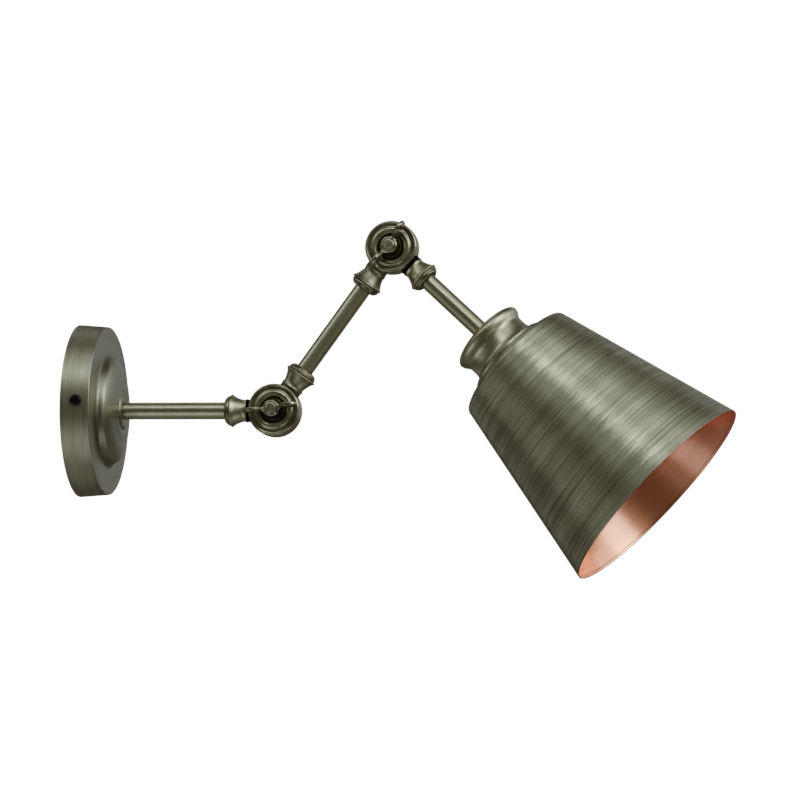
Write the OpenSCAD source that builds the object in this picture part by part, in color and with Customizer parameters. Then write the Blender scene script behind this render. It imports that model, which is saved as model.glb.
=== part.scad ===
// Wall lamp with two friction knuckles and a metal cone shade.
// Frame: origin on the wall, in the middle of the wall plate's back.
// +X leaves the wall, +Z is up, both knuckles turn about Y. Millimetres.

/* [Arms] */
// Outer radius of the three arm tubes
tube_r = 5.9; // [5.8:0.05:6]
// Bore radius of the arm tubes
tube_bore = 4.4; // [4.2:0.1:4.6]
// Wall to the axis of knuckle 1
j1_x = 138.87; // [130:0.01:160]
// Knuckle 1 to knuckle 2
mid_len = 139.2; // [120:0.1:160]
// Rise of the middle arm above level, in degrees
mid_ang = 54.82; // [45:0.01:65]
// Dip of the head below level, in degrees
head_dip = 42.51; // [30:0.01:45]

/* [Knuckles] */
// Outer radius of a knuckle disc
disc_r = 18.17; // [18:0.01:18.6]
// Half of the gap between the two discs
seam = 0.2; // [0.15:0.05:0.3]
// Radius of the knuckle bolt (M8)
bolt_r = 4; // [3.9:0.05:4]
// Running clearance round the knuckle bolt
bolt_fit = 0.06; // [0.03:0.01:0.09]
// Distance from knuckle axis to the collar's end face
collar_s = 19.6; // [19.4:0.1:20]
// Turn of the wing nut on knuckle 1, in degrees
wing_1 = 8; // [-40:1:40]
// Turn of the wing nut on knuckle 2, in degrees
wing_2 = 55; // [0:1:80]
// Tip radius of the wing nut's wings
wing_tip = 19.4; // [18:0.1:20]
// Thickness of a wing
wing_t = 2.8; // [2.2:0.1:3]

/* [Wall plate] */
// Radius of the plate at the wall
plate_r = 60.2; // [60.2:0.1:62]
// Sheet thickness of the plate
plate_t = 1.2; // [1:0.1:1.4]
// Distance between the two wall screw holes
wall_pitch = 70; // [68:1:72]
// Radius of the wall screw holes
wall_hole_r = 2.25; // [2.1:0.05:2.5]
// Radius of the cable hole in the bracket
cable_hole_r = 7; // [6:0.5:7.5]
// Height of the side screws above the wall
side_screw_x = 11.1; // [10:0.1:12]

/* [Shade and lampholder] */
// Distance from knuckle 2 to the mouth of the shade
mouth_s = 255; // [240:1:260]
// Outer radius of the shade at its mouth
mouth_r = 77.85; // [75:0.05:78.5]
// Sheet thickness of the shade
shade_t = 1; // [0.8:0.1:1.1]
// Bore radius of the lampholder's screw shell (E27)
socket_r = 13.4; // [13.3:0.05:13.5]
// Length of the screw shell's bore
socket_len = 22; // [18:1:22]

/* [Hidden] */
$fn = 96;
J1 = [j1_x, 0, 0];
J2 = J1 + mid_len * [cos(mid_ang), 0, sin(mid_ang)];
flex_r = 1.7;
flex_y = 2.1;

// ---- helpers ----

// Unit normal of a 2D step, to the left of travel
function left(a, b) = let (d = b - a) [-d[1], d[0]] / norm(d);
// A profile's points moved sideways by t, with mitred corners
function beside(p, t) = [for (i = [0 : len(p) - 1])
    let (a = i == 0 ? left(p[0], p[1]) : left(p[i - 1], p[i]),
         b = i == len(p) - 1 ? left(p[i - 1], p[i]) : left(p[i], p[i + 1]),
         m = (a + b) / norm(a + b))
    p[i] + m * t / max(0.55, m * a)];
function back(p) = [for (i = [len(p) - 1 : -1 : 0]) p[i]];
// Points written (along the axis, radius) become (radius, height)
function lathe_pts(p) = [for (q = p) [q[1], q[0]]];

// Turned about the local Z axis, from points (height, radius)
module lathe(p) { rotate_extrude() polygon(lathe_pts(p)); }

// Local Z along an arm that leaves joint j at angle a
module along(j, a) { translate(j) rotate([0, -a, 0]) rotate([0, 90, 0]) children(); }
// Local X along the arm, local Z away from the seam: side 1 is +Y, side -1 is -Y
module half_at(j, a, side) { translate(j) rotate([0, -a, 0]) rotate([-90 * side, 0, 0]) children(); }

// Point at radius r and angle a about joint j, y to the side
function polar(j, r, a, y) = j + [r * cos(a), y, r * sin(a)];

// Round lead along a list of points
module lead(p, r, n = 8, up = [0, 1, 0]) {
    m = len(p);
    tan = [for (i = [0 : m - 1]) let (d = p[min(i + 1, m - 1)] - p[max(i - 1, 0)]) d / norm(d)];
    side = [for (t = tan) let (c = cross(t, up)) c / norm(c)];
    top = [for (i = [0 : m - 1]) cross(side[i], tan[i])];
    pts = [for (i = [0 : m - 1]) for (k = [0 : n - 1])
        p[i] + r * (cos(360 * k / n) * side[i] + sin(360 * k / n) * top[i])];
    faces = concat(
        [[for (k = [0 : n - 1]) n - 1 - k]],
        [for (i = [0 : m - 2]) for (k = [0 : n - 1]) [i * n + k, i * n + (k + 1) % n, (i + 1) * n + (k + 1) % n]],
        [for (i = [0 : m - 2]) for (k = [0 : n - 1]) [i * n + k, (i + 1) * n + (k + 1) % n, (i + 1) * n + k]],
        [[for (k = [0 : n - 1]) (m - 1) * n + k]]);
    polyhedron(points = pts, faces = [for (f = faces) back(f)], convexity = 8);
}

// ---- wall side ----

// Outside of the plate, (distance from wall, radius)
plate_out = [[0, plate_r], [17.6, plate_r - 1], [18.7, plate_r - 1.35], [19.35, plate_r - 2],
    [19.6, plate_r - 2.9], [19.6, 39.6], [19.9, 38.4], [20.8, 37.5], [22.6, 36.8], [24.6, 35.9],
    [26, 34.5], [27, 32.6], [27.7, 30.5], [28.6, 26], [29.5, 21], [30.2, 16.6], [30.3, 15.2],
    [30.1, 14.3], [30.1, 13.4], [30.5, 12.6], [31.1, 12.1], [31.4, 11.4], [31.4, 5.15]];

module wall_plate() {
    color("#6b6957")
    difference() {
        rotate([0, 90, 0]) lathe(concat(plate_out, back(beside(plate_out, -plate_t))));
        for (s = [-1, 1]) translate([side_screw_x, s * 56, 0]) rotate([-90 * s, 0, 0]) cylinder(r = 2.3, h = 6);
    }
}

module wall_bracket() {
    color("#b8bcc0")
    difference() {
        union() {
            translate([0, -56.8, -11]) cube([2, 113.6, 22]);
            for (s = [-1, 1]) translate([0, s > 0 ? 54.8 : -56.8, -8]) cube([16, 2, 16]);
        }
        translate([-1, 0, 0]) rotate([0, 90, 0]) cylinder(r = cable_hole_r, h = 4);
        for (s = [-1, 1]) {
            translate([-1, s * wall_pitch / 2, 0]) rotate([0, 90, 0]) cylinder(r = wall_hole_r, h = 4);
            translate([side_screw_x, s * 53, 0]) rotate([-90 * s, 0, 0]) cylinder(r = 2.02, h = 6);
        }
        translate([-1, -20, 0]) rotate([0, 90, 0]) cylinder(r = 2.02, h = 4);
    }
}

// Pan-head screw along local Z, head at the top, with a cross recess
module pan_screw(r, len, head_r, head_h) {
    difference() {
        rotate_extrude() polygon([[0, -len], [r - 0.3, -len], [r, -len + 0.4], [r, 0], [head_r, 0],
            [head_r, head_h * 0.45], [head_r * 0.93, head_h * 0.72], [head_r * 0.74, head_h * 0.93],
            [head_r * 0.5, head_h], [0, head_h]]);
        for (a = [0, 90]) rotate(a) translate([-head_r * 0.55, -head_r * 0.13, head_h * 0.35])
            cube([head_r * 1.1, head_r * 0.26, head_h]);
    }
}

module plate_screws() {
    color("#1c1c1c")
    for (s = [-1, 1]) translate([side_screw_x, s * (plate_r - 0.34), 0]) rotate([-90 * s, 0, 0])
        pan_screw(2, 9.5, 4, 2.2);
}

block_y = [11, 28];
module terminal_block() {
    color("#e9e7df")
    difference() {
        union() {
            for (z = [-8, 0, 8]) translate([2, block_y[0], z - 3.9]) cube([13.6, block_y[1] - block_y[0], 7.8]);
            translate([2, block_y[0] + 4, -8]) cube([6, 9, 16]);
        }
        for (z = [-8, 0, 8]) {
            translate([9, block_y[0] - 1, z]) rotate([-90, 0, 0]) cylinder(r = 2.7, h = 19);
            for (y = [16, 23]) translate([9, y, z]) rotate([0, 90, 0]) cylinder(r = 1.65, h = 8);
        }
    }
}
module terminal_inserts() {
    color("#c9a24b")
    for (z = [-8, 0, 8]) difference() {
        translate([9, 13, z]) rotate([-90, 0, 0]) cylinder(r = 2.65, h = 13);
        translate([9, 12, z]) rotate([-90, 0, 0]) cylinder(r = 1.5, h = 15);
    }
}
module terminal_screws() {
    color("#c8c8c4")
    for (z = [-8, 0, 8]) for (y = [16, 23]) difference() {
        translate([11.7, y, z]) rotate([0, 90, 0]) cylinder(r = 1.55, h = 3.4);
        translate([14.3, y - 2, z - 0.3]) cube([2, 4, 0.6]);
    }
}
module earth_tag() {
    color("#d0cfc6")
    difference() {
        union() {
            translate([2, -20, 0]) rotate([0, 90, 0]) cylinder(r = 4, h = 0.8);
            translate([2, -17.4, -1.2]) cube([0.8, 5, 2.4]);
            translate([3.3, -15.6, 0]) rotate([-90, 0, 0]) cylinder(r = 1.25, h = 3.2);
        }
        translate([1, -20, 0]) rotate([0, 90, 0]) cylinder(r = 2.1, h = 3);
    }
}
module earth_screw() {
    color("#c9a24b")
    translate([2.82, -20, 0]) rotate([0, 90, 0]) pan_screw(2, 2.6, 3.6, 2);
}
module supply_cores() {
    color("#7a4a2a") lead([[16, 0.75, -0.2], [15.1, 0.85, -0.35], [13.6, 2, -1.5], [11.3, 4.5, -4.4], [9.7, 7.4, -6.9], [9, 9.8, -8], [9, 15, -8]], 0.65, 8, [1, 0, 0.4]);
    color("#2f5f9a") lead([[16, 0.75, 1.2], [15.1, 0.85, 1.35], [13.6, 2, 2.6], [11.3, 4.5, 5], [9.7, 7.4, 7], [9, 9.8, 8], [9, 15, 8]], 0.65, 8, [1, 0, -0.4]);
    color("#6f9a3a") lead([[16, -0.8, 0.3], [15.1, -0.9, 0.3], [13.6, -2.2, 0.3], [10.2, -4.8, 0.2], [7, -7.8, 0.1], [4.5, -10, 0], [3.4, -11.3, 0], [3.3, -12.1, 0]], 0.65, 8, [0, 0, 1]);
}
module wall_nipple() {
    color("#c9a24b")
    difference() {
        translate([20, 0, 0]) rotate([0, 90, 0]) cylinder(r = 4.98, h = 23);
        translate([19, 0, 0]) rotate([0, 90, 0]) cylinder(r = 3.6, h = 25);
    }
}
module nipple_washer() {
    color("#c0c0ba")
    difference() {
        translate([29.18, 0, 0]) rotate([0, 90, 0]) cylinder(r = 9.6, h = 1);
        translate([28, 0, 0]) rotate([0, 90, 0]) cylinder(r = 5.1, h = 3);
    }
}
// Thin hexagon nut along local Z
module thin_nut(h) {
    difference() {
        intersection() {
            cylinder(r = 8.08, h = h, $fn = 6);
            rotate_extrude() polygon([[0, 0], [7.2, 0], [8.2, 0.7], [8.2, h - 0.7], [7.2, h], [0, h]]);
        }
        translate([0, 0, -1]) cylinder(r = 5.02, h = h + 2);
    }
}
module nipple_nut() { color("#c0c0ba") translate([26.15, 0, 0]) rotate([0, 90, 0]) thin_nut(3); }

// Arm tube along local Z; threaded[k] counterbores an end for the nipple
module arm_tube(s0, s1, threaded = 0) {
    difference() {
        translate([0, 0, s0]) cylinder(r = tube_r, h = s1 - s0);
        translate([0, 0, s0 - 1]) cylinder(r = tube_bore, h = s1 - s0 + 2);
        if (threaded > 0) translate([0, 0, s1 - threaded]) cylinder(r = 5.02, h = threaded + 1);
    }
}
module wall_tube() { color("#77745f") along(J1, 180) arm_tube(24.1, j1_x - 31.42, 12); }
module mid_tube() { color("#77745f") along(J1, mid_ang) arm_tube(24.1, mid_len - 24.1); }
module head_tube() { color("#77745f") along(J2, -head_dip) arm_tube(24.1, 85.18, 9); }

// ---- knuckles ----

// Front disc, (height from seam plane, radius)
front_pts = [[seam, 0], [seam, disc_r], [6.3, disc_r], [7.1, 17.95], [7.65, 17.6], [7.9, 17.2], [7.85, 16.95],
    [7.4, 16.6], [7.2, 15.5], [7.2, 14.2], [7.45, 13.6], [7.95, 13.25], [8.35, 12.75], [8.45, 12.3],
    [8.25, 11.75], [7.7, 11.25], [6.7, 10.55], [5.9, 9.8], [5.4, 9], [5.2, 8.3], [5.2, 0]];
// Rear disc
rear_pts = [[seam, 0], [seam, disc_r], [5, disc_r], [5.7, 17.95], [6.2, 17.45], [6.4, 16.8], [6.4, 14],
    [6.3, 13.2], [6, 12.3], [5.5, 11.2], [5.15, 10.4], [5, 9.7], [5, 0]];
// Collar, (distance from knuckle axis, radius), from its end face to the groove
collar_pts = [[collar_s, 0], [collar_s, 8.2], [20.2, 8.05], [21.2, 7.75], [22.2, 7.65], [23.5, 7.95], [25, 8.45],
    [26.4, 8.95], [27.6, 9.5], [28.6, 10.1], [29.5, 10.8], [30.1, 11.3], [30.4, 11.45], [30.7, 11.3],
    [31.2, 10.5], [31.5, 10], [31.5, 0]];
ferrule_pts = [[31.55, tube_r + 0.05], [31.55, 9.95], [31.8, 10.3], [32.2, 10.45], [32.9, 10.3], [33.6, 9.8],
    [34.2, 9.1], [34.8, 8.3], [35.15, 7.4], [35.3, 6.4], [35.3, tube_r + 0.05]];

module knuckle_half(pts, top, square) {
    difference() {
        union() {
            lathe(pts);
            intersection() {
                translate([16.2, 0, 0]) rotate([0, 90, 0]) cylinder(r = 8, h = collar_s + 0.3 - 16.2);
                translate([12, -9, seam]) cube([12, 18, top]);
            }
            rotate([0, 90, 0]) lathe(collar_pts);
        }
        // lead cavity round the bolt's boss
        rotate_extrude() polygon([[7.2, -0.5], [15.6, -0.5], [15.6, 3.95], [7.2, 3.95]]);
        // lead way through the rim and the collar, open to the seam
        translate([14, 0, 2.3]) rotate([0, 90, 0]) cylinder(r = 2.3, h = 6.8);
        translate([20.3, 0, 0]) rotate([0, 90, 0]) cylinder(r = 4, h = 5);
        translate([24, 0, 0]) rotate([0, 90, 0]) cylinder(r = tube_r + 0.03, h = 9);
        if (square) translate([-4.05, -4.05, -1]) cube([8.1, 8.1, 8]);
        else translate([0, 0, -1]) cylinder(r = bolt_r + bolt_fit, h = 10);
    }
}
module knuckle_1_rear() { color("#69614d") half_at(J1, 180, 1) knuckle_half(rear_pts, 5.2, true); }
module knuckle_1_front() { color("#69614d") half_at(J1, mid_ang, -1) knuckle_half(front_pts, 6.6, false); }
module knuckle_2_front() { color("#69614d") half_at(J2, mid_ang + 180, -1) knuckle_half(front_pts, 6.6, false); }
module knuckle_2_rear() { color("#69614d") half_at(J2, -head_dip, 1) knuckle_half(rear_pts, 5.2, true); }

module wall_ferrule() { color("#77745f") along(J1, 180) lathe(ferrule_pts); }
module mid_ferrules() {
    color("#77745f") {
        along(J1, mid_ang) lathe(ferrule_pts);
        along(J2, mid_ang + 180) lathe(ferrule_pts);
    }
}
module head_ferrule() { color("#77745f") along(J2, -head_dip) lathe(ferrule_pts); }

// Cup-head bolt with a square neck; local Z leaves the seam on the rear side
module knuckle_bolt() {
    translate([0, 0, -18]) rotate_extrude() polygon([[0, 0], [bolt_r - 0.7, 0], [bolt_r, 0.7], [bolt_r, 19.5], [0, 19.5]]);
    translate([-4, -4, 1.3]) cube([8, 8, 4]);
    rotate_extrude() polygon([[0, 5.02], [8.6, 5.02], [8.4, 5.8], [7.6, 6.8], [6.2, 7.6], [4.2, 8.2], [2, 8.5], [0, 8.55]]);
}
module knuckle_1_bolt() { color("#5a5648") half_at(J1, 180, 1) knuckle_bolt(); }
module knuckle_2_bolt() { color("#5a5648") half_at(J2, -head_dip, 1) knuckle_bolt(); }

module ring(r0, r1, h) { difference() { cylinder(r = r1, h = h); translate([0, 0, -1]) cylinder(r = r0, h = h + 2); } }
// The square neck stops short of the seam, so the disc sits on the round shank
module knuckle_1_friction_disc() { color("#7b5a3c") half_at(J1, 180, 1) translate([0, 0, -0.15]) ring(4.1, 7.1, 0.34); }
module knuckle_2_friction_disc() { color("#7b5a3c") half_at(J2, -head_dip, 1) translate([0, 0, -0.15]) ring(4.1, 7.1, 0.34); }
module knuckle_1_washer() { color("#5f5b4c") half_at(J1, 180, -1) translate([0, 0, 5.26]) ring(4.04, 8, 1.2); }
module knuckle_2_washer() { color("#5f5b4c") half_at(J2, -head_dip, -1) translate([0, 0, 5.26]) ring(4.04, 8, 1.2); }

// Wing nut on local Z, wings along local X
module wing_nut() {
    ear = 6.3;
    difference() {
        union() {
            rotate_extrude() polygon([[0, 6.52], [6.9, 6.52], [6.9, 7.6], [6.2, 12], [5.75, 15.6], [5.1, 16.3], [0, 16.3]]);
            for (s = [0, 180]) rotate([0, 0, s]) rotate([90, 0, 0]) translate([0, 0, -wing_t / 2])
                linear_extrude(wing_t) union() {
                    translate([wing_tip - ear, 18.2]) circle(r = ear);
                    polygon([[4.3, 9.4], [7.2, 10.2], [11.2, 12.4], [14.5, 13.4], [12, 22], [9.4, 22.6], [7.6, 20.4], [6.4, 17.6], [5.3, 15.2], [4.3, 14.8]]);
                }
        }
        translate([0, 0, 5]) cylinder(r = bolt_r + 0.05, h = 30);
    }
}
module wing_nut_1() { color("#66624f") half_at(J1, wing_1, -1) wing_nut(); }
module wing_nut_2() { color("#66624f") half_at(J2, wing_2, -1) wing_nut(); }

// ---- leads ----

// Radius of the lead's path about a knuckle, a degrees away from the arm
function loop_r(a) = a >= 45 ? 11.4 : 11.4 + 4.9 * pow(1 - a / 45, 6);
// Path from knuckle j towards an arm at angle arm: starts turn degrees round (sign is the way round)
function loop_path(j, arm, turn, y) = concat(
    [for (k = [0 : 9]) let (a = abs(turn) - k * (abs(turn) - 48) / 9) polar(j, loop_r(a), arm + sign(turn) * a, y)],
    [for (a = [38, 28, 20, 13, 8, 4, 1.5]) polar(j, loop_r(a), arm + sign(turn) * a, y)],
    [polar(j, 17.4, arm, y), polar(j, 20, arm, y), polar(j, 22.6, arm, y * 0.75),
     polar(j, 25.5, arm, y * 0.42), polar(j, 28.5, arm, y * 0.12), polar(j, 32, arm, 0)]);

module wall_flex() {
    color("#d8d5cc") lead(concat(loop_path(J1, 180, 102, flex_y), [[70, 0, 0], [16.3, 0, 0]]), flex_r);
}
module mid_flex() {
    color("#d8d5cc") lead(concat(loop_path(J1, mid_ang, -131, -flex_y),
        back(loop_path(J2, mid_ang + 180, -135, -flex_y))), flex_r);
}
module head_flex() {
    color("#d8d5cc") lead(concat(loop_path(J2, -head_dip, 140, flex_y),
        [polar(J2, 60, -head_dip, 0), polar(J2, 98.3, -head_dip, 0)]), flex_r);
}

// ---- head ----

// Cup from the tube to the shade, (distance from knuckle 2, radius)
cup_pts = [[85.2, 5.05], [85.2, 7], [85.9, 10], [87.1, 15], [88.4, 20], [89.5, 23.5], [90.6, 25.6], [91.8, 26.9],
    [93.1, 27.35], [94.4, 27.25], [95.6, 26.8], [96.8, 26.2], [98, 25.2], [99.2, 24.55], [100.5, 24.25],
    [103, 24.2], [106, 24.35], [108, 24.8], [109.3, 25.5], [110.5, 26.8], [111.2, 28.2], [111.7, 29.8],
    [112, 30.4], [112.4, 30.65], [113.9, 30.65], [114.18, 30.3],
    [114.18, 28.6], [112.9, 28.3], [112.2, 26.9], [110.4, 24.7], [108.6, 23.5], [106, 23.05], [103, 22.9],
    [100.5, 22.95], [98.8, 23.4], [97.2, 24.3], [95.6, 25.3], [94, 25.95], [93, 26], [92.3, 25.6], [91.4, 24.4],
    [90.4, 21.8], [89.2, 17.4], [88.3, 13.8], [87, 9.5], [87, 5.05]];
module shade_cup() { color("#6f6c58") along(J2, -head_dip) lathe(cup_pts); }

module cup_nipple() {
    color("#c9a24b") along(J2, -head_dip) difference() {
        translate([0, 0, 77]) cylinder(r = 4.98, h = 20.4);
        translate([0, 0, 76]) cylinder(r = 3.6, h = 23);
    }
}
module cup_washer() { color("#c0c0ba") along(J2, -head_dip) translate([0, 0, 87.02]) ring(5.06, 8.8, 0.8); }
module cup_nut() { color("#c0c0ba") along(J2, -head_dip) translate([0, 0, 87.84]) thin_nut(3); }

module lampholder_cap() {
    color("#2a2826") along(J2, -head_dip)
    lathe([[91.2, 5.02], [91.2, 8], [96.4, 8.4], [97, 16], [98, 18.4], [99.6, 19.5], [113, 19.5], [113, 17.4],
        [101.4, 17.4], [99.6, 16], [99.6, 5.02]]);
}
module lampholder_insulator() {
    color("#e8e4da") along(J2, -head_dip) difference() {
        translate([0, 0, 103]) cylinder(r = 16.8, h = 13);
        translate([0, 0, 102]) cylinder(r = 1.55, h = 16);
        for (t = [-10, 10]) translate([t, 0, 102]) cylinder(r = 1.55, h = 5);
        translate([0, 0, 113.2]) ring(7, 12, 4);
    }
}
module lampholder_terminals() {
    color("#c9a24b") along(J2, -head_dip)
    for (t = [-10, 10]) translate([t, 0, 0]) {
        translate([0, 0, 101.2]) cylinder(r = 1.5, h = 5.6);
        translate([0, 0, 100.1]) cylinder(r = 2.7, h = 1.2);
    }
}
module lampholder_cores() {
    along(J2, -head_dip) {
        color("#7a4a2a") lead([[-0.8, 0, 98.5], [-0.85, 0, 99.3], [-2, 0, 100.4], [-3.9, 0, 101.3], [-6.2, 0, 101.9], [-8.45, 0, 102.1]], 0.65);
        color("#2f5f9a") lead([[0.8, 0, 98.5], [0.85, 0, 99.3], [2, 0, 100.4], [3.9, 0, 101.3], [6.2, 0, 101.9], [8.45, 0, 102.1]], 0.65);
    }
}
module centre_contact() {
    color("#c9a24b") along(J2, -head_dip) {
        translate([0, 0, 103.4]) cylinder(r = 1.5, h = 15);
        translate([0, 0, 118.2]) rotate_extrude() polygon([[0, 0], [4.4, 0], [4.4, 0.5], [3, 1], [0, 1.2]]);
    }
}
shell_s = 142;
module screw_shell() {
    color("#c8c3ad") along(J2, -head_dip)
    lathe([[116.05, 11.3], [116.05, 13.3], [119.2, 13.5], [119.9, 14.1], [shell_s, 14.1], [shell_s, socket_r],
        [shell_s - socket_len, socket_r], [shell_s - socket_len - 0.6, socket_r - 0.6], [117, socket_r - 0.8], [117, 11.3]]);
}
module lampholder_skirt() {
    color("#2a2826") along(J2, -head_dip)
    lathe([[107, 16.95], [107, 17.3], [113.06, 17.3], [113.06, 19.6], [145, 19.6], [146, 18.8], [146, 14.5],
        [143.5, 14.5], [142.6, 16], [118, 16], [118, 16.95]]);
}

// Outside of the shade, (distance from knuckle 2, radius)
shade_out = [[114.2, 20.3], [114.2, 30], [115.4, 34], [116.6, 39], [117.6, 42.7], [118.5, 45.1], [119.6, 46.4],
    [121, 47.1], [123, 47.6], [mouth_s, mouth_r]];
module shade() {
    color("#6b6b58") along(J2, -head_dip) lathe(concat(shade_out, back(beside(shade_out, -shade_t))));
}
module shade_ring() {
    color("#2a2826") along(J2, -head_dip)
    lathe([[115.25, 19.7], [115.25, 27], [116.9, 27], [117.3, 23.6], [121.5, 23.2], [121.5, 19.7]]);
}

wall_bracket();
wall_plate();
plate_screws();
terminal_block();
terminal_inserts();
terminal_screws();
earth_screw();
earth_tag();
supply_cores();
wall_nipple();
nipple_washer();
nipple_nut();
wall_tube();
wall_ferrule();
knuckle_1_rear();
knuckle_1_bolt();
knuckle_1_friction_disc();
knuckle_1_washer();
wall_flex();
wing_nut_1();
knuckle_1_front();
mid_ferrules();
mid_tube();
knuckle_2_front();
mid_flex();
knuckle_2_rear();
knuckle_2_bolt();
knuckle_2_friction_disc();
knuckle_2_washer();
head_ferrule();
head_tube();
head_flex();
cup_nipple();
cup_washer();
cup_nut();
shade_cup();
lampholder_cap();
lampholder_insulator();
lampholder_terminals();
lampholder_cores();
centre_contact();
screw_shell();
lampholder_skirt();
shade();
shade_ring();
wing_nut_2();
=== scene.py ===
import math

import bpy
import numpy as np
from mathutils import Matrix, Vector


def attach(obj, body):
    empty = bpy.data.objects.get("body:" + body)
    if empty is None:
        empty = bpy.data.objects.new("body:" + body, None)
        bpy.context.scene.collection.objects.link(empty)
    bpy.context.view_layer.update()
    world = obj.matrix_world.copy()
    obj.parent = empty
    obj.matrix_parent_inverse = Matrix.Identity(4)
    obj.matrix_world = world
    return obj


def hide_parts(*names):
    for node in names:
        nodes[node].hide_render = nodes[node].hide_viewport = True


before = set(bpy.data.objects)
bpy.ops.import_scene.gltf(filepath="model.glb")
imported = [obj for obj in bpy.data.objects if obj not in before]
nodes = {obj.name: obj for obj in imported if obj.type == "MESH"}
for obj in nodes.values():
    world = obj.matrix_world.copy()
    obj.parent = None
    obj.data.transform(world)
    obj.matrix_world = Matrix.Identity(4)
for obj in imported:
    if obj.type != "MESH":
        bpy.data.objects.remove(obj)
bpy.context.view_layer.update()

scene = bpy.context.scene
MM = 0.001
X, Y, Z = Vector((1, 0, 0)), Vector((0, 1, 0)), Vector((0, 0, 1))

# ---------------------------------------------------------------- layout, millimetres
MID, DIP = math.radians(54.82), math.radians(42.51)
MID_LEN = 139.2
J1 = Vector((138.87, 0, 0))
J2 = J1 + MID_LEN * Vector((math.cos(MID), 0, math.sin(MID)))
SEAM = 0.2
DISC_R = 18.17
TUBE_R = 5.9

# ---------------------------------------------------------------- camera
# The photograph is taken from 10.5 degrees to the lamp's side of square on, from 7.4 degrees below.
cam_data = bpy.data.cameras.new("camera")
camera = bpy.data.objects.new("camera", cam_data)
scene.collection.objects.link(camera)
yaw, rise, roll = 0.1833, -0.13, 0.0217
sy, cy, se, ce = math.sin(yaw), math.cos(yaw), math.sin(rise), math.cos(rise)
right = Vector((cy, sy, 0))
up = Vector((-sy * se, cy * se, ce))
ahead = Vector((-sy * ce, cy * ce, -se))
cr, sr = math.cos(roll), math.sin(roll)
row_x = cr * right + sr * up
row_y = sr * right - cr * up
turn = Matrix((row_x, row_y, ahead))
where = -(turn.transposed() @ Vector((-223.17, 7.8, 3262.7))) * MM
pose = Matrix((row_x, -row_y, -ahead)).transposed().to_4x4()
pose.translation = where
camera.matrix_world = pose
cam_data.sensor_width = 36.0
cam_data.lens = 4661.0 / 800.0 * 36.0
cam_data.clip_start, cam_data.clip_end = 0.1, 50.0
scene.camera = camera


# ---------------------------------------------------------------- frames
def along(j, a):
    """Local Z along an arm that leaves joint j at angle a."""
    m = Matrix((Vector((math.sin(a), 0, -math.cos(a))), Y, Vector((math.cos(a), 0, math.sin(a))))).transposed().to_4x4()
    m.translation = j * MM
    return m


def half_at(j, a, side):
    """Local X along the arm, local Z away from the seam."""
    m = Matrix((Vector((math.cos(a), 0, math.sin(a))), Vector((side * math.sin(a), 0, -side * math.cos(a))),
                Vector((0, side, 0)))).transposed().to_4x4()
    m.translation = j * MM
    return m


WALL = along(Vector((0, 0, 0)), 0.0)
ARM_1 = along(J1, math.pi)
ARM_2 = along(J1, MID)
ARM_2B = along(J2, MID + math.pi)
HEAD = along(J2, -DIP)


# ---------------------------------------------------------------- profiles, points are (along, radius)
def rounded(points, closed=True, steps=5):
    """A point with a third number gets a fillet of that radius."""
    out, n = [], len(points)
    for i, p in enumerate(points):
        q = np.array(p[:2], float)
        r = p[2] if len(p) > 2 else 0.0
        if r <= 0 or (not closed and i in (0, n - 1)):
            out.append(q)
            continue
        a, b = np.array(points[i - 1][:2], float), np.array(points[(i + 1) % n][:2], float)
        u, v = (a - q) / np.linalg.norm(a - q), (b - q) / np.linalg.norm(b - q)
        half = math.acos(max(-1, min(1, float(u @ v)))) / 2
        if half > math.radians(88.5):
            out.append(q)
            continue
        t = min(r / math.tan(half), 0.46 * np.linalg.norm(a - q), 0.46 * np.linalg.norm(b - q))
        rr = t * math.tan(half)
        mid = (u + v) / np.linalg.norm(u + v)
        c = q + mid * (rr / math.sin(half))
        s0, s1 = q + u * t - c, q + v * t - c
        a0 = math.atan2(s0[1], s0[0])
        d = (math.atan2(s1[1], s1[0]) - a0 + math.pi) % (2 * math.pi) - math.pi
        k = max(2, min(steps, int(abs(d) / 0.2) + 1))
        out += [c + rr * np.array((math.cos(a0 + d * x / k), math.sin(a0 + d * x / k))) for x in range(k + 1)]
    return out


def spline(points, step=0.4):
    """A smooth line through the points (centripetal), sampled about every step."""
    p = [np.array(q, float) for q in points]
    p = [2 * p[0] - p[1]] + p + [2 * p[-1] - p[-2]]
    out = []
    for i in range(1, len(p) - 2):
        a, b, c, d = p[i - 1:i + 3]
        t0 = 0.0
        t1 = t0 + max(np.linalg.norm(b - a), 1e-6) ** 0.5
        t2 = t1 + max(np.linalg.norm(c - b), 1e-6) ** 0.5
        t3 = t2 + max(np.linalg.norm(d - c), 1e-6) ** 0.5
        k = max(1, int(round(np.linalg.norm(c - b) / step)))
        for x in range(k):
            t = t1 + (t2 - t1) * x / k
            a1 = (t1 - t) / (t1 - t0) * a + (t - t0) / (t1 - t0) * b
            a2 = (t2 - t) / (t2 - t1) * b + (t - t1) / (t2 - t1) * c
            a3 = (t3 - t) / (t3 - t2) * c + (t - t2) / (t3 - t2) * d
            b1 = (t2 - t) / (t2 - t0) * a1 + (t - t0) / (t2 - t0) * a2
            b2 = (t3 - t) / (t3 - t1) * a2 + (t - t1) / (t3 - t1) * a3
            out.append((t2 - t) / (t2 - t1) * b1 + (t - t1) / (t2 - t1) * b2)
    out.append(p[-2])
    return out


def guarded(points, closed=True, gap=0.09):
    """Adds a point close to each end of a long straight stretch, so that shading stays flat on it."""
    out, n = [], len(points)
    for i in range(n):
        a = np.array(points[i], float)
        out.append(a)
        if i == n - 1 and not closed:
            break
        b = np.array(points[(i + 1) % n], float)
        size = np.linalg.norm(b - a)
        if size > 8 * gap:
            out += [a + (b - a) * gap / size, b - (b - a) * gap / size]
    return out


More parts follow.
